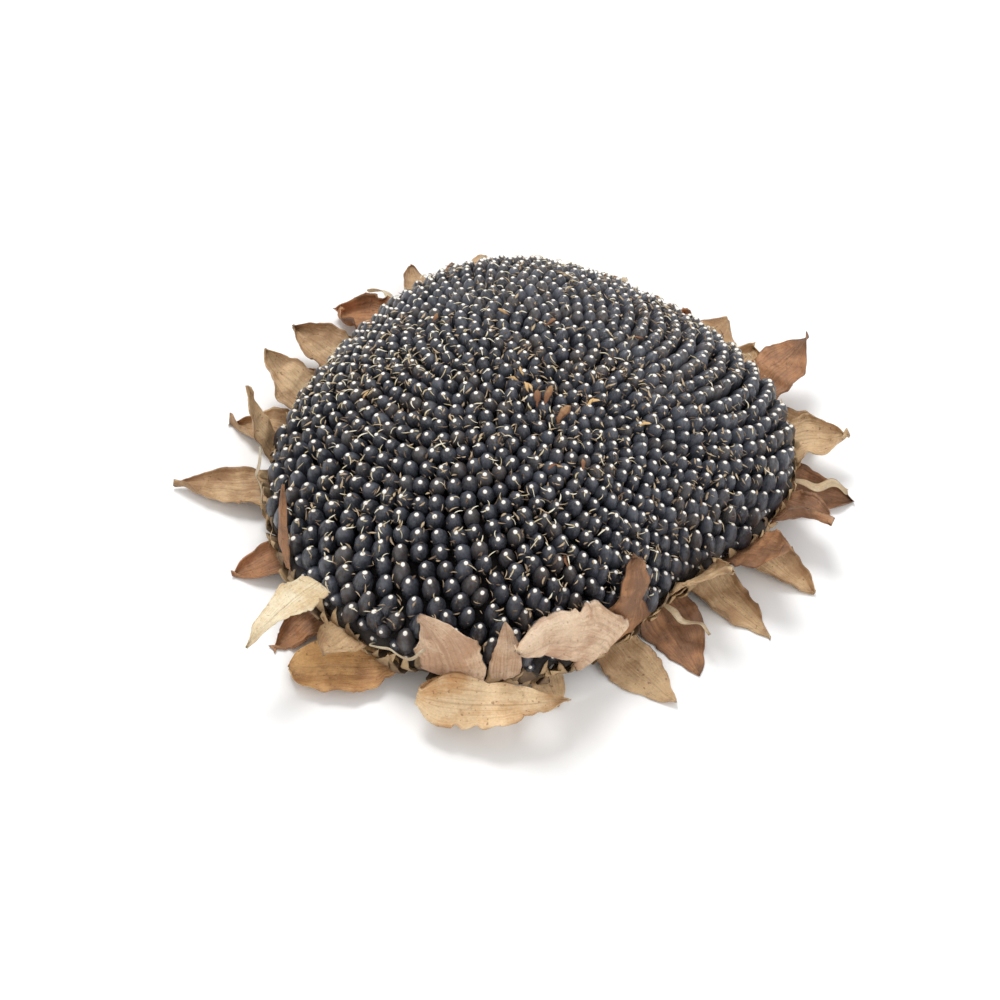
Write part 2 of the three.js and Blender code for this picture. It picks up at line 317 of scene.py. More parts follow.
def leaf_group(tree, given):
    """Dry leaf: soft blotches and long streaks between two colours, faint parallel veins that wander, a
    browned margin and point, stains, and small brown flecks."""
    parts = add_node(tree, "ShaderNodeSeparateXYZ", {0: given["Leaf"]})
    across = maths(tree, "ABSOLUTE", maths(tree, "MULTIPLY_ADD", parts.outputs[0], 2.0, -1.0))
    tone = given["Tone"]
    moved = {0: given["Leaf"], 1: tone}
    shifted = add_node(tree, "ShaderNodeVectorMath", moved, operation="ADD").outputs[0]
    streak = texture_noise(tree, stretched(tree, shifted, (26, 2.2, 1)), 1.0, 4.0, 0.6)
    blotch = texture_noise(tree, given["Place"], 95.0, 5.0, 0.62)
    fine = texture_noise(tree, given["Place"], 1300.0, 3.0, 0.6)
    share = maths(tree, "MULTIPLY_ADD", streak, 0.45, maths(tree, "MULTIPLY", blotch, 1.1))
    share = maths(tree, "MULTIPLY_ADD", tone, 0.12, share)
    colour = blend(tree, ramp(tree, share, 0.6, 0.96), given["Light"], given["Dark"])
    wander = maths(tree, "MULTIPLY_ADD", blotch, 0.12, parts.outputs[0])
    vein_wave = maths(tree, "COSINE", maths(tree, "MULTIPLY", wander, 2 * np.pi * VEINS))
    vein = maths(tree, "MULTIPLY", ramp(tree, vein_wave, 0.2, 1.0), ramp(tree, parts.outputs[1], 1.0, 0.2))
    vein = maths(tree, "MULTIPLY", vein, ramp(tree, streak, 0.35, 0.65, 0.0, 0.3))
    lines = maths(tree, "MAXIMUM", vein, ramp(tree, across, 0.08, 0.0, 0.0, 0.3))
    colour = blend(tree, lines, colour, given["Vein"])
    margin = maths(tree, "MAXIMUM", ramp(tree, across, 0.8, 1.05), ramp(tree, parts.outputs[1], 0.8, 1.0))
    margin = maths(tree, "MULTIPLY", margin, ramp(tree, blotch, 0.42, 0.62, 0.0, 0.7))
    stain = ramp(tree, texture_noise(tree, given["Place"], 170.0, 4.0, 0.7), 0.6, 0.72, 0.0, 0.4)
    colour = blend(tree, maths(tree, "MAXIMUM", margin, stain), colour, given["Vein"])
    fleck = ramp(tree, texture_noise(tree, given["Place"], 800.0, 1.0), 0.66, 0.74)
    colour = blend(tree, maths(tree, "MULTIPLY", fleck, given["Flecks"]), colour, given["Vein"])
    shade = ramp(tree, fine, 0.3, 0.75, 0.9, 1.06)
    grey = add_node(tree, "ShaderNodeCombineColor", {0: shade, 1: shade, 2: shade}).outputs[0]
    colour = blend(tree, 1.0, colour, grey, "MULTIPLY")
    height = maths(tree, "MULTIPLY_ADD", streak, 0.9, maths(tree, "MULTIPLY", fine, 0.5))
    height = maths(tree, "SUBTRACT", height, maths(tree, "MULTIPLY", lines, 0.4))
    rough = maths(tree, "MULTIPLY_ADD", fine, 0.25, 0.5)
    return {"Color": colour, "Roughness": rough, "Height": height}


def grain_group(tree, given):
    """Dry plant tissue: blotches between two colours with darker fibres along one direction."""
    blotch = texture_noise(tree, given["Place"], 60.0, 5.0, 0.65)
    fibre = texture_noise(tree, given["Along"], 1.0, 3.0, 0.6)
    pits = texture_noise(tree, given["Place"], 900.0, 2.0)
    share = maths(tree, "MULTIPLY_ADD", fibre, 0.6, maths(tree, "MULTIPLY", blotch, 0.7))
    colour = blend(tree, ramp(tree, share, 0.4, 0.95), given["Light"], given["Dark"])
    height = maths(tree, "MULTIPLY_ADD", fibre, 0.8, maths(tree, "MULTIPLY", pits, 0.4))
    return {"Color": colour, "Height": height, "Roughness": maths(tree, "MULTIPLY_ADD", pits, 0.2, 0.7)}


LEAF = make_group(
    "dry_leaf",
    {"Leaf": "Vector", "Place": "Vector", "Tone": "Float", "Flecks": "Float",
     "Light": "Color", "Dark": "Color", "Vein": "Color"},
    {"Color": "Color", "Roughness": "Float", "Height": "Float"}, leaf_group)
GRAIN = make_group(
    "dry_grain", {"Place": "Vector", "Along": "Vector", "Light": "Color", "Dark": "Color"},
    {"Color": "Color", "Roughness": "Float", "Height": "Float"}, grain_group)


def new_material(name):
    material = bpy.data.materials.new(name)
    material.use_nodes = True
    tree = material.node_tree
    shader = next(n for n in tree.nodes if n.type == "BSDF_PRINCIPLED")
    place = add_node(tree, "ShaderNodeTexCoord").outputs["Object"]
    return material, tree, shader, place


def add_bump(tree, shader, height, depth, strength=1.0):
    inputs = {"Height": height, "Distance": depth, "Strength": strength}
    tree.links.new(add_node(tree, "ShaderNodeBump", inputs).outputs[0], shader.inputs["Normal"])


def attribute(tree, name, output="Fac"):
    settings = {"attribute_name": name, "attribute_type": "GEOMETRY"}
    return add_node(tree, "ShaderNodeAttribute", **settings).outputs[output]


def leaf_material(name, light, dark, vein, flecks):
    """Papery leaf with the dry-leaf pattern along its own length, and a little light coming through."""
    material, tree, shader, place = new_material(name)
    inputs = {"Leaf": add_node(tree, "ShaderNodeUVMap", uv_map="leaf").outputs[0], "Place": place,
              "Tone": attribute(tree, "tone"), "Flecks": flecks, "Light": light, "Dark": dark, "Vein": vein}
    leaf = add_node(tree, "ShaderNodeGroup", inputs, node_tree=LEAF)
    tree.links.new(leaf.outputs["Color"], shader.inputs["Base Color"])
    tree.links.new(leaf.outputs["Roughness"], shader.inputs["Roughness"])
    shader.inputs["Subsurface Weight"].default_value = 0.15
    shader.inputs["Subsurface Radius"].default_value = (1.0, 0.6, 0.3)
    shader.inputs["Subsurface Scale"].default_value = 0.001
    add_bump(tree, shader, leaf.outputs["Height"], 0.0004)
    return material


def grain_material(name, light, dark, stretch, bump, bed=False):
    """Plant tissue with the grain pattern, and painted shade: brown fold valleys, a near-black seed bed."""
    material, tree, shader, place = new_material(name)
    inputs = {"Place": place, "Along": stretched(tree, place, stretch), "Light": light, "Dark": dark}
    grain = add_node(tree, "ShaderNodeGroup", inputs, node_tree=GRAIN)
    colour = grain.outputs["Color"]
    if bed:
        # Painted shade: the fold valleys of the disc's underside are darkened towards brown.
        painted_crease_shade = ramp(tree, attribute(tree, "painted_fold_shade"), -0.1, 0.5, 0.0, 0.6)
        colour = blend(tree, painted_crease_shade, colour, rgb(0.13, 0.08, 0.04))
        # Painted shade: the seed bed under and between the seeds is coloured near-black.
        colour = blend(tree, attribute(tree, "bed"), colour, rgb(0.025, 0.02, 0.018))
    tree.links.new(colour, shader.inputs["Base Color"])
    tree.links.new(grain.outputs["Roughness"], shader.inputs["Roughness"])
    add_bump(tree, shader, grain.outputs["Height"], bump)
    return material


def seed_material():
    """Glossy blue-black husk with faint long streaks and a dusty bloom, and at the tip the small pale
    scar that the floret left, in a brown ring."""
    material, tree, shader, place = new_material("seed_husk")
    local = attribute(tree, "seed_place", "Vector")
    tone = attribute(tree, "tone")
    parts = add_node(tree, "ShaderNodeSeparateXYZ", {0: local})
    flat = add_node(tree, "ShaderNodeCombineXYZ", {"X": parts.outputs[0], "Y": parts.outputs[1]})
    wide = add_node(tree, "ShaderNodeVectorMath", {0: flat.outputs[0]}, operation="LENGTH")
    wide = wide.outputs["Value"]
    streak = texture_noise(tree, stretched(tree, local, (2.6, 2.6, 0.35)), 1.0, 2.0)
    bloom = texture_noise(tree, place, 380.0, 3.0)
    speck = texture_noise(tree, place, 2600.0, 1.0)
    colour = blend(tree, ramp(tree, streak, 0.4, 0.7), rgb(0.019, 0.02, 0.025), rgb(0.058, 0.062, 0.078))
    colour = blend(tree, ramp(tree, bloom, 0.4, 0.7, 0.0, 0.55), colour, rgb(0.105, 0.115, 0.145))
    colour = blend(tree, ramp(tree, tone, 0.2, 1.0, 0.0, 0.4), colour, rgb(0.12, 0.092, 0.075))
    colour = blend(tree, ramp(tree, tone, -0.3, -1.0, 0.0, 0.4), colour, rgb(0.13, 0.14, 0.17))
    top = ramp(tree, parts.outputs[2], -1.6, -0.9)
    ring = maths(tree, "MULTIPLY", ramp(tree, wide, 0.85, 0.6, 0.0, 0.8), top)
    ragged = maths(tree, "MULTIPLY_ADD", speck, 0.16, wide)
    scar = maths(tree, "MULTIPLY", ramp(tree, ragged, 0.68, 0.56), top)
    colour = blend(tree, ring, colour, rgb(0.14, 0.10, 0.075))
    colour = blend(tree, scar, colour, rgb(0.86, 0.83, 0.76))
    tree.links.new(colour, shader.inputs["Base Color"])
    rough = maths(tree, "MULTIPLY_ADD", bloom, 0.34, 0.22)
    rough = maths(tree, "MAXIMUM", rough, maths(tree, "MULTIPLY", scar, 0.75))
    tree.links.new(rough, shader.inputs["Roughness"])
    shader.inputs["Coat Weight"].default_value = 0.35
    shader.inputs["Coat Roughness"].default_value = 0.18
    height = maths(tree, "MULTIPLY_ADD", streak, 0.8, maths(tree, "MULTIPLY", speck, 0.2))
    add_bump(tree, shader, height, 0.0003, 0.6)
    return material


def fleck_material(name, light, dark, rough):
    """Tiny dry scraps: one colour at the root running to another at the point."""
    material, tree, shader, place = new_material(name)
    mottle = texture_noise(tree, place, 900.0, 2.0)
    share = maths(tree, "MULTIPLY_ADD", mottle, 0.5, attribute(tree, "along"))
    tree.links.new(blend(tree, ramp(tree, share, 0.3, 1.3), dark, light), shader.inputs["Base Color"])
    shader.inputs["Roughness"].default_value = rough
    add_bump(tree, shader, texture_noise(tree, place, 2400.0, 1.0), 0.0002, 0.7)
    return material


MATERIALS = {
    "seeds": seed_material(),
    "receptacle": grain_material(
        "dry_pith", rgb(0.46, 0.33, 0.18), rgb(0.2, 0.125, 0.065), (240, 240, 900), 0.0009, bed=True),
    "stem_stub": grain_material(
        "dry_stem", rgb(0.5, 0.38, 0.21), rgb(0.25, 0.17, 0.09), (700, 700, 45), 0.0007),
    "bract_tan": leaf_material(
        "tan_bract", rgb(0.62, 0.43, 0.24), rgb(0.38, 0.225, 0.11), rgb(0.2, 0.11, 0.05), 0.7),
    "bract_cream": leaf_material(
        "cream_bract", rgb(0.82, 0.61, 0.37), rgb(0.62, 0.345, 0.14), rgb(0.3, 0.155, 0.07), 0.7),
    "bract_brown": leaf_material(
        "brown_bract", rgb(0.45, 0.22, 0.1), rgb(0.22, 0.105, 0.05), rgb(0.1, 0.05, 0.025), 0.5),
    "petal": leaf_material(
        "shrivelled_petal", rgb(0.8, 0.68, 0.5), rgb(0.58, 0.43, 0.26), rgb(0.4, 0.26, 0.13), 0.2),
}
PINKISH = leaf_material(
    "pinkish_bract", rgb(0.74, 0.54, 0.37), rgb(0.5, 0.3, 0.18), rgb(0.24, 0.13, 0.075), 0.45)
GOLDEN = leaf_material(
    "golden_bract", rgb(0.68, 0.4, 0.16), rgb(0.42, 0.21, 0.085), rgb(0.2, 0.095, 0.04), 0.6)
BLEACHED = leaf_material(
    "bleached_bract", rgb(0.82, 0.72, 0.52), rgb(0.66, 0.5, 0.29), rgb(0.36, 0.24, 0.12), 0.5)
CHAFF = fleck_material("chaff", rgb(0.3, 0.23, 0.165), rgb(0.04, 0.033, 0.03), 0.75)
CRUMBS = fleck_material("chaff_crumb", rgb(0.5, 0.37, 0.23), rgb(0.12, 0.075, 0.045), 0.75)
SCALES = fleck_material("rim_scale", rgb(0.5, 0.34, 0.18), rgb(0.13, 0.08, 0.045), 0.75)
STRAW = fleck_material("straw_floret", rgb(0.83, 0.77, 0.6), rgb(0.5, 0.4, 0.22), 0.6)
RUSSET = fleck_material("russet_floret", rgb(0.62, 0.4, 0.17), rgb(0.17, 0.065, 0.025), 0.65)


# ------------------------ seeds

def edge_tips():
    """The small last seeds: the spiral carried on past the dome's edge and bent down over the disc's
    side, so that each millimetre further out is one and a half down. Tips and axes, pointing outwards."""
    n = SEED_COUNT + np.arange(EDGE_SEEDS)
    angle = (n + 1) * GOLDEN_ANGLE
    past = SEED_EDGE * (np.sqrt((n + 0.5) / (SEED_COUNT - 0.5)) - 1)
    _, edge_height = face_section(SEED_EDGE, 0.0)
    tips = spread(angle, SEED_EDGE - 0.4, edge_height - 0.6 - 1.5 * past)
    return tips, unit(unit(tips * [1, 1, 0]) * 0.8 + UP * 0.75)


def build_seeds():
    """Each seed is a turned drop: a flat scar at its tip, a domed shoulder, its widest part halfway
    down and a pointed foot. It is squashed to an oval and leans a little from the dome's normal. The
    outer seeds stand up from the normal and are longer. Where the outline bulges they are broader too,
    and set in from the rim to match."""
    radii = np.array([0, 0.42, 1.12, 1.85, 2.4, 2.52, 0])
    depths = np.array([0, 0.04, 0.5, 1.5, 3.2, 5.4, 10.3])
    around = 9
    local = lathe_form(radii, depths, around)
    tips, axes = (np.concatenate(pair) for pair in zip(seed_tips(), edge_tips()))
    n = np.arange(SEED_COUNT + EDGE_SEEDS)
    on_face = n < SEED_COUNT
    share = np.sqrt(np.minimum(n / SEED_COUNT, 1))
    size = (0.94 + 0.07 * smooth(0.0, 0.4, share)) * (1 + 0.075 * vary(n, 31))
    size = size * np.where(on_face, 1, 0.88)
    rim = smooth(0.45, 1.0, share) * on_face
    lean = np.stack([vary(n, 32), vary(n, 33), 0.3 * vary(n, 34)], -1) * 0.16
    lean = lean + (UP - axes) * 0.8 * rim[:, None]
    outward = unit(tips * [1, 1, 0])
    axes = unit(axes + lean)
    other = unit(np.cross(axes, outward))
    side, other = turned(np.cross(other, axes), other, (0.5 * vary(n, 35))[:, None])
    lobe = (outline((n + 1) * GOLDEN_ANGLE) - 1) * share
    broader = 1.3 * np.maximum(lobe, 0) * on_face
    tips = tips - outward * (radii.max() * 1.3 * broader * rim)[:, None]
    stretch = np.stack([size * (1.04 + 0.14 * rim + 0.07 * vary(n, 36)) * (1 + broader),
                        size * (1 + lobe), 1 + 0.45 * rim], -1)
    form = local[None] * stretch[:, None]
    form[..., 2] += (0.6 * vary(n, 37))[:, None]
    points = (tips[:, None] + form[..., :1] * side[:, None] + form[..., 1:2] * other[:, None]
              + form[..., 2:] * axes[:, None])
    attributes = {"seed_place": np.tile(local, (len(n), 1)), "tone": np.repeat(vary(n, 38), len(local))}
    faces = rings_faces(len(radii) - 2, around, len(n))
    make_piece("seeds_packed", points, faces, "seeds", ["seeds"], attributes=attributes)


def build_chaff():
    """Pointed scales between the seeds: a thin blade on the outer side of each seed, from deep in the
    bed to just below the tips."""
    angle, radius = seed_places()
    n = np.arange(SEED_COUNT)
    radius = np.minimum(radius + 2.35, 79.6)
    root = spread(angle, *face_section(radius, 9.0))
    point = spread(angle, *face_section(radius, 1.2 + 0.7 * vary(n, 41)))
    point = point + np.stack([vary(n, 42), vary(n, 43), 0.4 * n / SEED_COUNT], -1)
    steps, around = 6, 4
    t = np.linspace(0, 1, steps)
    paths = root[:, None] + (point - root)[:, None] * t[:, None]
    widths = np.broadcast_to(np.array([0, 1.1, 1.1, 0.8, 0.42, 0]), (SEED_COUNT, steps)) * 0.9
    points = worm_points(paths, widths, around)
    make_worms("chaff_scales", points, steps, around, "seeds", CHAFF)


def build_straws():
    """Pale dried floret tubes, left on about half of the seeds: each rises from beside the tip, bends
    over and lies across its neighbours in a curl. They are thickest towards the left."""
    tips, axes = seed_tips()
    n = np.arange(2 * SEED_COUNT)
    tips, axes = np.tile(tips, (2, 1)), np.tile(axes, (2, 1))
    clumps = noise(tips, 26.0, 3)
    right = smooth(-50, 50, tips[:, 0] - 0.4 * tips[:, 1])
    keep = n[vary(n, 51) + 0.8 * clumps - 0.45 * right > np.where(n < SEED_COUNT, -0.05, 0.3)]
    root, axis = tips[keep], axes[keep]
    side, other = frames_for(axis, np.pi * vary(keep, 52))
    length = 2.8 + 1.2 * vary(keep, 53) + 1.6 * smooth(0.5, 1, vary(keep, 57))
    curl = 1.7 * vary(keep, 54)
    steps, around = 7, 5
    t = np.linspace(0, 1, steps)
    heading = curl[:, None] * t
    ahead = side[:, None] * np.cos(heading)[..., None] + other[:, None] * np.sin(heading)[..., None]
    rise = np.clip(0.9 - 2.0 * t, -0.35, 1)[None, :, None]
    step = unit(ahead + axis[:, None] * rise) * (length[:, None, None] / (steps - 1))
    paths = root[:, None] + side[:, None] * 0.4 + np.cumsum(step, 1) - step[:, :1] + axis[:, None] * 0.1
    widths = np.array([0, 0.15, 0.21, 0.19, 0.16, 0.11, 0]) * (1 + 0.4 * vary(keep, 55))[:, None]
    points = worm_points(paths, widths, around)
    make_worms("straw_florets", points, steps, around, "petal", STRAW, start=0.55 * vary(keep, 56))


def build_crumbs():
    """Crumbs of chaff caught between the seeds near their tips: small bent flakes, thickest in drifts."""
    n = np.arange(CRUMB_COUNT)
    share = np.sqrt(0.5 + 0.5 * vary(n, 101))
    angle = np.pi * vary(n, 102)
    radius = SEED_EDGE * share
    root = spread(angle, *face_section(radius, 0.9 + 0.7 * vary(n, 103)))
    axis = unit(root - spread(angle, *face_section(radius, 5.0)))
    keep = vary(n, 104) + 0.9 * noise(root, 18.0, 12) > -0.1
    root, axis, n = root[keep], axis[keep], n[keep]
    side, other = frames_for(axis, np.pi * vary(n, 105))
    length = (1.8 + 1.0 * vary(n, 106))[:, None, None]
    steps, around = 5, 4
    t = np.linspace(0, 1, steps)[None, :, None]
    bend = (1.2 * vary(n, 107))[:, None, None]
    rise = (0.25 + 0.35 * vary(n, 108))[:, None, None]
    reach = side[:, None] * t + other[:, None] * bend * t ** 2 + axis[:, None] * rise * t
    paths = root[:, None] + length * reach
    widths = np.array([0, 0.22, 0.3, 0.2, 0]) * (1 + 0.6 * vary(n, 109))[:, None]
    points = worm_points(paths, widths, around, 0.3)
    make_worms("chaff_crumbs", points, steps, around, "petal", CRUMBS, 0.3, 0.4 + 0.75 * vary(n, 110))


# Brown florets that still lie on the seeds, most near the middle: place on the face, heading in
# degrees, length in mm and how pale, from 0 for russet to 1 for straw
TUFTS = (
    (1.0, -14.3, 100, 8.0, 0.15), (3.2, -12.6, 84, 8.5, 0.25), (-2.2, -8.8, 116, 4.5, 0.7),
    (-0.8, -8.3, 135, 4.0, 0.8), (-4.5, -3.0, 130, 4.5, 0.7), (-5.5, -5.5, 160, 4.0, 0.6),
    (7.5, -19.1, 67, 9.5, 0.3), (8.6, -18.0, 60, 8.0, 0.1), (16.2, -10.3, 49, 4.8, 1.0),
    (17.0, -8.6, 20, 4.2, 0.9), (7.1, -33.8, 30, 3.6, 0.0), (9.0, -32.2, 330, 3.2, 0.5),
    (18.4, -33.2, 95, 4.5, 0.15), (17.5, -60.4, 120, 5.0, 0.0), (-0.6, 20.4, 40, 5.5, 0.2),
    (-12, 24, 170, 5, 0.4), (33.7, -11.5, 25, 4.5, 0.9), (-38, 21, 80, 5, 0.2),
    (-52, -12, 60, 4, 0.6), (30, 26, 200, 5, 0.1),
)


def build_tufts():
    """Crumpled brown floret tubes: curls that flare towards the point and bend over."""
    rows = np.array(TUFTS, float)
    n = np.arange(len(rows))
    radius = np.hypot(rows[:, 0], rows[:, 1])
    root = spread(np.arctan2(rows[:, 1], rows[:, 0]), *face_section(radius, 0.2))
    steps, around = 10, 8
    t = np.linspace(0, 1, steps)
    heading = np.radians(rows[:, 2])[:, None] + 0.5 * vary(n, 61)[:, None] * t
    rise = np.radians(48 - 75 * t)[None]
    step = np.stack([np.cos(heading) * np.cos(rise), np.sin(heading) * np.cos(rise),
                     np.sin(rise) + 0 * heading], -1) * (rows[:, 3] / (steps - 1))[:, None, None]
    paths = root[:, None] + np.cumsum(step, 1) - step[:, :1]
    widths = np.array([0, 0.35, 0.5, 0.65, 0.8, 0.85, 0.75, 0.55, 0.3, 0]) * (rows[:, 3] / 7)[:, None]
    points = worm_points(paths, widths, around)
    points = points + 0.4 * np.stack([noise(points, 1.5, k) for k in (1, 2, 3)], -1)
    paleness = rows[:, 4] * 1.3 - 0.3
    make_worms("brown_florets", points, steps, around, "bract_brown", RUSSET, 0.5, paleness)


def build_fringe():
    """Withered scales round the rim: narrow blades in three rows from the disc's side up the outer
    seeds, bending in or out at the point."""
    n = np.arange(FRINGE_COUNT)
    angle = 2 * np.pi * (n + 0.4 * vary(n, 81)) / FRINGE_COUNT
    row = n % 3
    steps, around = 8, 6
    t = np.linspace(0, 1, steps)
    top = 9.5 + 1.8 * row + 2.6 * vary(n, 82)
    height = (3.5 + row)[:, None] + (top - 3.5 - row)[:, None] * t ** 1.2
    bulge = 74.2 + 6.6 * np.sin(np.pi * np.clip(t * 0.75, 0, 1)) ** 0.8
    radius = bulge + (1.2 * vary(n, 83) - 0.4 * row)[:, None] * t
    radius = radius + (1.5 + 2.6 * vary(n, 84))[:, None] * t ** 3
    swing = angle[:, None] + (0.05 * vary(n, 85))[:, None] * t ** 2
    paths = spread(swing, radius, height)
    widths = np.array([0, 1.5, 2.0, 2.2, 2.1, 1.6, 0.9, 0]) * (1 + 0.4 * vary(n, 86))[:, None]
    points = worm_points(paths, widths, around, 0.16, spread(swing + 0.01, radius, height) - paths)
    points = points + 0.7 * np.stack([noise(points, 3.5, k) for k in (4, 5, 6)], -1)
    make_worms("rim_scales", points, steps, around, "bract_tan", SCALES, start=0.5 * vary(n, 87))


# ------------------------ receptacle and stem

def build_receptacle():
    """The disc's section, followed at even steps and turned about the axis. Radial folds that deepen
    outwards and lumps move its underside and rim along the normals, and faint lumps its top."""
    under = [(0, 29.5), (18, 29), (32, 25.5), (46, 19), (58, 11.5), (66, 7), (72, 5.2), (76.8, 6.0),
             (79.6, 8.6), (79.4, 12.2), (74.5, 14.5)]
    top = [face_section(SEED_EDGE * k / 8, SEED_LENGTH) for k in range(7, -1, -1)]
    section = np.array([*under, *top], float)
    reach = np.concatenate([[0], np.cumsum(np.linalg.norm(np.diff(section, axis=0), axis=1))])
    rings, around = 110, 288
    at = np.linspace(0, reach[-1], rings + 2)
    radius = np.interp(at, reach, section[:, 0])
    height = np.interp(at, reach, section[:, 1])
    for _ in range(3):
        height[1:-1] = (height[:-2] + height[1:-1] * 2 + height[2:]) / 4
        radius[1:-1] = (radius[:-2] + radius[1:-1] * 2 + radius[2:]) / 4
    slope = unit(np.stack([np.gradient(radius), np.gradient(height)], -1))
    out = np.stack([slope[:, 1], -slope[:, 0]], -1)[1:-1]
    angle = np.arange(around) * 2 * np.pi / around
    body = spread(angle[None], radius[1:-1, None], height[1:-1, None])
    folds = np.sin(46 * angle[None] + 2.2 * np.sin(5 * angle)[None] + 0.05 * radius[1:-1, None])
    below = smooth(0.62, 0.5, at[1:-1] / at[-1])[:, None]
    push = (0.8 + 0.5 * noise(body, 12.0, 8)) * folds * smooth(14, 50, radius[1:-1])[:, None] * below
    lumps = 1.1 * noise(body, 9.0, 5, 3) + 0.5 * noise(body * [1, 1, 2.5], 2.6, 6)
    push = push + lumps * (0.2 + 0.8 * below)
    normal = np.stack([out[:, :1] * np.cos(angle), out[:, :1] * np.sin(angle),
                       np.broadcast_to(out[:, 1:], (rings, around))], -1)
    body = body + normal * push[..., None]
    points = np.concatenate([[[0, 0, height[0]]], body.reshape(-1, 3), [[0, 0, height[-1]]]])
    faces = [f[:, ::-1] for f in rings_faces(rings, around)]
    # bed marks the seed bed, which the pith material paints near-black as shade under and between the
    # seeds.
    bed = np.repeat(smooth(0.445, 0.5, at[1:-1] / at[-1]), around)
    # Painted shade: marks the underside's fold valleys for the pith material to darken.
    painted_fold_shade = (folds * below * smooth(14, 40, radius[1:-1])[:, None]).ravel() * -0.5
    attributes = {"bed": np.concatenate([[0], bed, [1]]), "painted_fold_shade": np.concatenate([[0], painted_fold_shade, [0]])}
    make_piece("receptacle_disc", points, faces, "receptacle", ["receptacle"], attributes=attributes)


def build_stem():
    """The stub's ribbed wall, flaring upwards into the disc, and its cut end, dished by a millimetre."""
    around = 96
    angle = np.arange(around) * 2 * np.pi / around
    share = np.linspace(0, 1, 40)
    radius = STEM_RADIUS + 5 * share ** 3 + 1.6 * smooth(0.86, 1, share)
    top = STEM_TOP + 1.4
    height = top * share
    inner = np.array([0.16, 0.4, 0.62, 0.74, 0.84, 0.95]) * STEM_RADIUS
    dish = np.array([0.9, 1.0, 0.8, 0.35, 0.12, 0.02])
    radius = np.concatenate([inner, radius])
    height = np.concatenate([dish, height])
    waves = np.cos(11 * angle + 1.2 * np.sin(3 * angle))
    ribs = 1 + 0.045 * waves * smooth(6.5, STEM_RADIUS, radius)[:, None]
    wall = np.stack([radius[:, None] * ribs * np.cos(angle), radius[:, None] * ribs * np.sin(angle),
                     np.broadcast_to(height[:, None], ribs.shape)], -1)
    wall = wall + 0.35 * noise(wall * [1, 1, 0.3], 3.0, 9)[..., None] * [1, 1, 0.2]
    wall[..., 0] += STEM_LEAN * (1 - wall[..., 2] / top) ** 2
    wall[..., 2] = np.maximum(wall[..., 2], 0.02)
    points = np.concatenate([[[STEM_LEAN, 0, dish[0]]], wall.reshape(-1, 3), [[0, 0, top]]])
    faces = [f[:, ::-1] for f in rings_faces(len(radius), around)]
    make_piece("stem_cut_stub", points, faces, "stem_stub", ["stem_stub"])


# ------------------------ bracts and petals

def row_angle(n):
    return n * 2 * np.pi / ROW_COUNT


def upright_bract(n):
    angle = row_angle(n + 0.08 * vary(n, 1))
    return dict(angle=angle, foot=(0.4, 9.6), length=22.5 - 5 * np.sin(angle) + 2.5 * vary(n, 2),
                half_width=10 + 1.2 * vary(n, 3), rise=np.radians(24 - 54 * np.sin(angle) + 5 * vary(n, 4)),
                curl=np.radians(2 + 20 * vary(n, 5)), cup=0.2 + 0.08 * vary(n, 6), lean=0.0,
                sweep=np.radians(12 * vary(n, 7)), twist=np.radians(8 * vary(n, 8)),
                slot="bract_tan" if n % 4 else "bract_brown")


def spread_bract(n):
    angle = row_angle(n + 0.5 + 0.08 * vary(n, 11))
    return dict(angle=angle, foot=(-2.8, 4.4), length=26 - 6 * np.sin(angle) + 3 * vary(n, 12),
                half_width=9.6 + 1.2 * vary(n, 13), rise=np.radians(-15 + 4 * vary(n, 14)),
                curl=np.radians(8 + 22 * vary(n, 15)), cup=0.2 + 0.12 * vary(n, 16), lean=0.0,
                sweep=np.radians(12 * vary(n, 17)), twist=np.radians(8 * vary(n, 18)),
                slot="bract_tan" if n % 3 else "bract_brown")


def petal(n):
    angle = row_angle(np.floor(n * ROW_COUNT / PETAL_COUNT + 0.5) + 0.5)
    return dict(angle=angle, foot=(1.2, 7.9), length=20 + 3 * vary(n, 22),
                half_width=1.6 + 0.3 * vary(n, 23),
                rise=np.radians(-6 - 14 * np.sin(angle) + 5 * vary(n, 24)),
                curl=np.radians(4 - 16 * np.sin(angle) + 16 * vary(n, 25)), cup=0.0, lean=0.0,
                sweep=np.radians(30 * vary(n, 27)), twist=np.radians(60 * vary(n, 28)),
                slot="petal", wiggle=1.6)


# The leaves at the front, and one at the back right, have shapes of their own, by their number in the
# row, counted from 0. Angles are in degrees. Beyond the row's traits, blunt rounds the point,
# round_base the base, neck is the least half width near the root, root_turn moves the root along the
# rim, and keel folds the blade along its midrib.
UPRIGHT_FRONT = {
    2: dict(length=24, rise=30, slot="bract_brown"),
    11: dict(half_width=6, length=26, rise=52, sweep=-16, curl=30),
    12: dict(angle=221, foot=(0.6, 11), half_width=2.7, length=34, rise=82, sweep=-14, twist=20),
    13: dict(angle=232, foot=(1.2, 22), half_width=6.2, length=33, rise=16, curl=-26, cup=0.5, lean=13,
             slot="bract_cream", keel=1.0, material=BLEACHED),
    14: dict(half_width=8, length=15, rise=34, curl=-34),
    15: dict(angle=262.5, foot=(1.7, 12), half_width=11, length=31, rise=86, curl=8, lean=8, sweep=-50,
             material=PINKISH),
    16: dict(angle=273, foot=(0.6, 11.5), half_width=5.2, length=30, rise=83, curl=10, sweep=-10,
             material=PINKISH),
    17: dict(angle=294, foot=(3.6, 14), half_width=11, blunt=0.2, length=43, rise=93, curl=8, lean=-24,
             sweep=-55, material=PINKISH),
    18: dict(angle=304, foot=(1, 9.6), half_width=11, length=31, rise=87, curl=24, slot="bract_brown"),
}
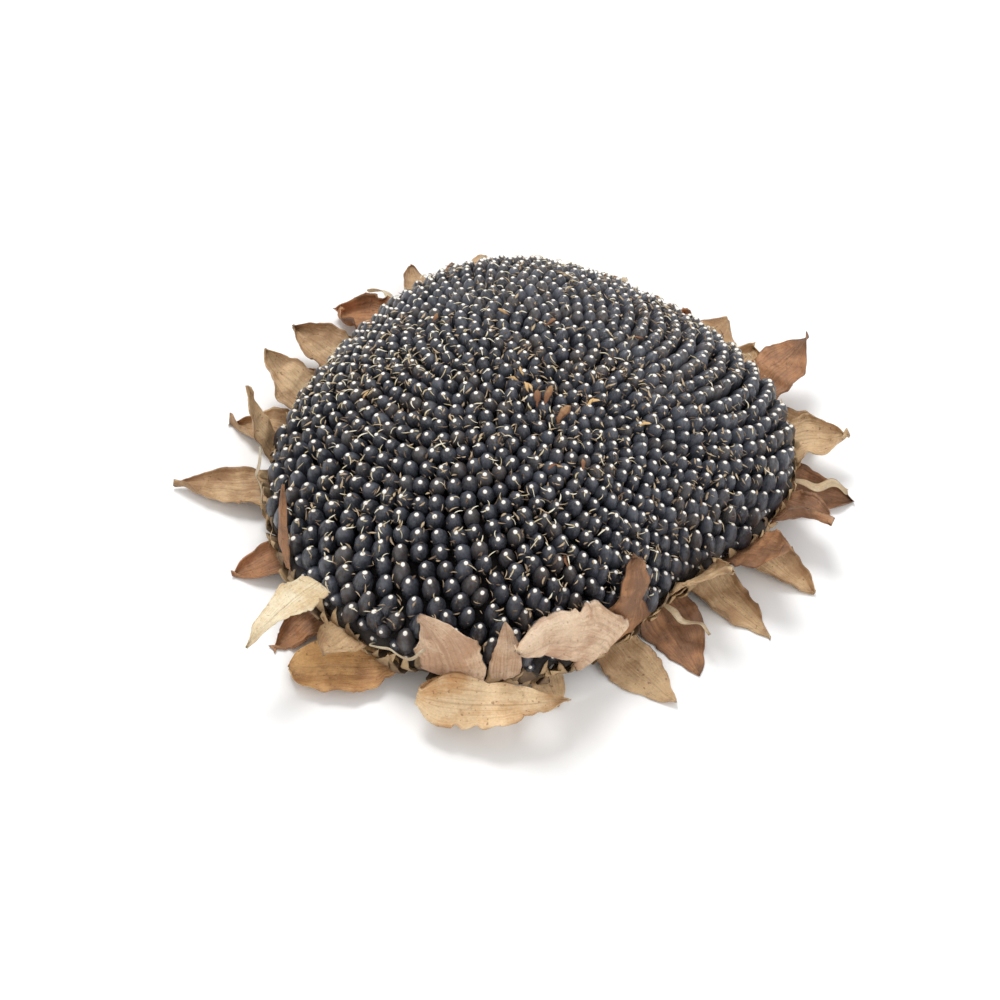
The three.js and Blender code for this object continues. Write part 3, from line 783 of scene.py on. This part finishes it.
SPREAD_FRONT = {
    11: dict(length=33),
    12: dict(half_width=7, length=18, rise=-22),
    13: dict(half_width=8, length=20, rise=-20, slot="bract_brown"),
    14: dict(angle=250, foot=(0, 5.2), half_width=8, length=29, rise=-12, lean=-56, sweep=-8, blunt=0.5,
             round_base=0.14, neck=4.0, material=GOLDEN),
    15: dict(angle=258, foot=(10.8, 11.4), half_width=8.6, length=45, rise=-34, lean=90, sweep=26,
             slot="bract_cream", round_base=0.17, neck=2.6, root_turn=11),
    16: dict(half_width=6, length=11, rise=-26),
}
PETAL_FRONT = {
    3: dict(angle=204, foot=(2, 11), half_width=0.8, length=22, rise=82, curl=10, sweep=-10, twist=30),
    4: dict(angle=247, foot=(3, 15.5), half_width=0.8, length=22, rise=76, curl=10, lean=62, sweep=-4),
}
DEGREE_TRAITS = ("angle", "rise", "curl", "lean", "sweep", "twist", "root_turn")
ROOT_SHARE = 0.13  # of a leaf's length, added below its foot to reach into the rim
SOCKET = (75.5, 8.0)  # radius and height, inside the rim, at which a leaf's root ends
FLOOR = 0.5  # the lowest that a leaf's middle surface comes


def withered(shape, n, k):
    """A side or back leaf, dried a little further from the even row: more curl, twist and sweep."""
    shape["curl"] = shape["curl"] + np.radians(26 * vary(n, k))
    shape["twist"] = shape["twist"] + np.radians(22 * vary(n, k + 1))
    shape["sweep"] = shape["sweep"] + np.radians(16 * vary(n, k + 2))
    shape["cup"] = shape["cup"] + 0.35 * vary(n, k + 3)
    return shape


def own_shape(shape, changes):
    """A leaf with its own numbers in place of the row's."""
    for key, value in changes.items():
        shape[key] = np.radians(value) if key in DEGREE_TRAITS else value
    return shape


def row_leaf(shape, n, own, k):
    """The n-th leaf of a row: given its own shape if it has numbers of its own, withered if it doesn't."""
    return own_shape(shape, own[n]) if n in own else withered(shape, n, k)


def bract_width(t):
    return (0.9 + 1.3 * t) * np.maximum(1 - t, 0) ** 0.95


def strap_width(t):
    return 0.55 + 1.8 * t * (1 - t)


def leaf_grid(shape, rows, columns, width):
    """The middle surface of a leaf. Its midrib is summed up from unit steps that rise, curl, lean and
    sweep as its length goes by. Each row is straight across, cupped by the square of the distance from
    the midrib, hugs the rim at the foot and twists towards the point. A root below the foot bends in
    to the rim."""
    t = np.linspace(-ROOT_SHARE, 1, rows)
    u = np.linspace(-1, 1, columns)
    grown = np.maximum(t, 0)
    rim = lambda angle: spread(angle, HEAD_RADIUS, 0.0)
    start = rim(shape["angle"])
    across = unit(rim(shape["angle"] + 1e-3) - rim(shape["angle"] - 1e-3))
    out = np.cross(across, UP)
    tilt = shape["rise"] + shape["curl"] * grown ** 1.4
    turn = shape["lean"] + shape["sweep"] * grown ** 0.7
    ahead, normal = turned(out, UP, tilt[:, None])
    tangent, side = turned(ahead, across, turn[:, None])
    side, normal = turned(side, normal, (shape["twist"] * grown)[:, None])
    step = shape["length"] * (t[1] - t[0])
    travel = np.cumsum(tangent, 0) * step
    foot = start + out * shape["foot"][0] + UP * shape["foot"][1]
    middle = foot + travel - travel[np.argmin(np.abs(t))]
    back = (np.clip(-t / ROOT_SHARE, 0, 1) ** 2)[:, None]
    socket = spread(shape["angle"] + shape.get("root_turn", 0.0), *SOCKET)
    middle = middle * (1 - back) + socket * back
    half = shape["half_width"] * width(grown) * (1 - 0.35 * back[:, 0])
    half = half / np.maximum(1 - grown, 0.04) ** shape.get("blunt", 0.0)
    half = half * smooth(-0.03, shape.get("round_base", -0.02), t) ** 0.5
    half = np.where(t < 0.3, np.maximum(half, shape.get("neck", 0.0)), half)
    wiggle = shape.get("wiggle", 0.0) * grown[:, None]
    middle = middle + wiggle * (side * np.sin(11 * t + shape["mark"])[:, None]
                                + normal * np.sin(8 * t + 3 * shape["mark"])[:, None])
    mark = shape["mark"]
    length_marks = np.stack([t * shape["length"], 0 * t, 0 * t], -1)
    jags = [0.13 * noise(length_marks + 60 * mark + k, 5.5, k, 3) for k in (11, 12)]
    nicks = [0.16 * smooth(0.55, 0.8, noise(length_marks + 30 * mark + k, 2.2, k, 1)) for k in (13, 14)]
    jag = np.where(u < 0, (jags[0] - nicks[0])[:, None], (jags[1] - nicks[1])[:, None]) * np.abs(u) ** 2
    half = np.maximum(half, 0.25)[:, None] * (1 + jag * min(1, shape["half_width"] / 6))
    hug = (rim(shape["angle"] + half * u / np.linalg.norm(start)) - start) @ out
    hug = hug * (1 - grown)[:, None] * (1 - back)
    keel = shape.get("keel", 0.0)
    bowl = (1 - keel) * u ** 2 + keel * np.abs(u) ** 1.15
    point = middle[:, None] + side[:, None] * (half * u)[..., None]
    point = point + normal[:, None] * (shape["cup"] * half * bowl * grown[:, None])[..., None]
    return point + out * hug[..., None], t, u


def crumple(point, t, u, shape):
    """Heights to move a leaf's surface along its normal: slow folds, a wavy and rolled margin, a
    raised midrib and fine ribs beside it."""
    mark = shape["mark"]
    grown = smooth(0.0, 0.3, t)[:, None]
    edge = np.abs(u)[None]
    size = min(1.0, shape["half_width"] / 9)
    folds = 1.5 * noise(point + 40 * mark, 12.0, 1) + 0.75 * noise(point + 90 * mark, 4.2, 2)
    bend = noise(np.stack([t, 0 * t, 0 * t], -1) * 3.2 + 50 * mark, 1.0, 15)[:, None]
    wave = 2.2 * edge ** 2.5 * bend * np.where(u < 0, 1.0, -0.7)
    roll = (2.2 + 2.0 * np.sin(mark * 9)) * np.maximum(edge - 0.5, 0) ** 2 * 4
    ribs = 0.07 * np.cos(2 * np.pi * 4 * u)[None] * (1 - 0.6 * np.abs(t))[:, None]
    midrib = -0.4 * np.exp(-(u / 0.07) ** 2)[None] * (1 - 0.7 * np.abs(t))[:, None]
    return size * (grown * (folds + wave + roll) + ribs + midrib)


def build_leaf(name, shape, node, grid, thickness, width):
    """A leaf as two sheets either side of its middle surface that meet at the margin, so it is thin
    there and thickest along the midrib."""
    shape["mark"] = float(vary(sum(map(ord, name)), 71))
    rows, columns = grid
    middle, t, u = leaf_grid(shape, rows, columns, width)
    normal = unit(np.cross(np.gradient(middle, axis=0), np.gradient(middle, axis=1)))
    middle = middle + normal * crumple(middle, t, u, shape)[..., None]
    excess = middle[..., 2] - FLOOR
    middle[..., 2] = FLOOR + 0.5 * (excess + np.sqrt(excess ** 2 + 0.35 ** 2))
    normal = unit(np.cross(np.gradient(middle, axis=0), np.gradient(middle, axis=1)))
    body = thickness * (0.35 + 0.65 * np.exp(-(u / 0.25) ** 2))[None, :, None]
    upper = middle + normal * body / 2
    lower = middle - normal * body / 2
    lower[..., 2] = np.maximum(lower[..., 2], 0.03)
    upper[..., 2] = np.maximum(upper[..., 2], lower[..., 2] + 0.03)
    number = np.arange(rows * columns).reshape(rows, columns)
    inside = np.zeros((rows, columns), bool)
    inside[1:-1, 1:-1] = True
    upper[~inside] = middle[~inside]
    below = number.copy()
    below[inside] = rows * columns + np.arange(inside.sum())
    points = np.concatenate([upper.reshape(-1, 3), lower[inside]])
    quads = lambda g: np.stack([g[:-1, :-1], g[1:, :-1], g[1:, 1:], g[:-1, 1:]], -1).reshape(-1, 4)
    faces = [np.concatenate([quads(number), quads(below)[:, ::-1]])]
    uv = np.stack(np.broadcast_arrays((u * 0.5 + 0.5)[None], t[:, None]), -1)
    uv = np.concatenate([uv.reshape(-1, 2), uv[inside]])
    tone = np.full(len(points), 0.6 * shape["mark"])
    make_piece(name, points, faces, shape["slot"], [node], uv, {"tone": tone}, shape.get("material"))


def build_leaves():
    for n in range(ROW_COUNT):
        number = f"{n + 1:02d}"
        upright = row_leaf(upright_bract(n), n, UPRIGHT_FRONT, 91)
        low = row_leaf(spread_bract(n), n, SPREAD_FRONT, 95)
        for row, shape in (("upright", upright), ("spread", low)):
            node = row + "_bract_" + number
            build_leaf(row + "_leaf_" + number, shape, node, LEAF_GRID, LEAF_THICKNESS, bract_width)
    for n in range(PETAL_COUNT):
        number = f"{n + 1:02d}"
        shape = own_shape(petal(n), PETAL_FRONT.get(n, {}))
        node = "petal_" + number
        build_leaf("dry_petal_" + number, shape, node, PETAL_GRID, PETAL_THICKNESS, strap_width)


# ------------------------ table, light and camera

VIEW_ELEVATION = np.radians(49)
VIEW_ROLL = np.radians(9.4)
FRAME_SIZE = 1000.0
FOCAL = 2400.0  # in thousandths of the picture's width
SENSOR = 36.0
DISTANCE = 759.5 * MM
AIM_OFFSET = (27.0, 52.0)  # how far right of and above the picture's middle the aim point stands
AIM = (np.array([0, 0, FACE_EDGE_HEIGHT]) + SHIFT) * MM


def add_camera():
    ahead = np.array([0, np.cos(VIEW_ELEVATION), -np.sin(VIEW_ELEVATION)])
    level_right = np.array([1.0, 0, 0])
    right, up = turned(level_right, np.cross(level_right, ahead), VIEW_ROLL)
    place = AIM - ahead * DISTANCE
    look = unit(ahead - right * AIM_OFFSET[0] / FOCAL - up * AIM_OFFSET[1] / FOCAL)
    right = unit(right - look * (right @ look))
    up = np.cross(right, look)
    data = bpy.data.cameras.new("camera")
    data.sensor_width = SENSOR
    data.lens = SENSOR * FOCAL / FRAME_SIZE
    data.clip_start = 0.05
    camera = bpy.data.objects.new("camera", data)
    facing = Matrix(np.stack([right, up, -look], 1).tolist()).to_4x4()
    camera.matrix_world = Matrix.Translation(Vector(place.tolist())) @ facing
    bpy.context.scene.collection.objects.link(camera)
    bpy.context.scene.camera = camera


def add_light(name, place, size, power):
    data = bpy.data.lights.new(name, "AREA")
    data.shape = "DISK"
    data.size = size
    data.energy = power
    light = bpy.data.objects.new(name, data)
    light.location = place
    light.rotation_euler = (-Vector(place)).to_track_quat("-Z", "Y").to_euler()
    bpy.context.scene.collection.objects.link(light)


def add_table():
    mesh = bpy.data.meshes.new("table")
    reach = 6.0
    corners = [(-reach, -reach, 0), (reach, -reach, 0), (reach, reach, 0), (-reach, reach, 0)]
    mesh.from_pydata(corners, [], [(0, 1, 2, 3)])
    material, tree, shader, place = new_material("white_table")
    shade = ramp(tree, texture_noise(tree, place, 3.0, 2.0), 0.3, 0.7)
    colour = blend(tree, shade, rgb(0.9, 0.9, 0.9), rgb(0.93, 0.93, 0.925))
    tree.links.new(colour, shader.inputs["Base Color"])
    shader.inputs["Roughness"].default_value = 0.7
    mesh.materials.append(material)
    table = bpy.data.objects.new("table", mesh)
    bpy.context.scene.collection.objects.link(table)


def add_world():
    world = bpy.data.worlds.new("studio")
    world.use_nodes = True
    background = next(n for n in world.node_tree.nodes if n.type == "BACKGROUND")
    background.inputs["Color"].default_value = (1, 1, 1, 1)
    background.inputs["Strength"].default_value = 0.75
    bpy.context.scene.world = world
    bpy.context.scene.view_settings.view_transform = "Standard"


add_camera()
add_world()
add_table()
add_light("key", (-0.35, 0.45, 1.1), 0.5, 9)
add_light("fill", (0.8, -0.7, 0.9), 0.9, 4)
build_seeds()
build_chaff()
build_straws()
build_crumbs()
build_tufts()
build_fringe()
build_receptacle()
build_stem()
build_leaves()
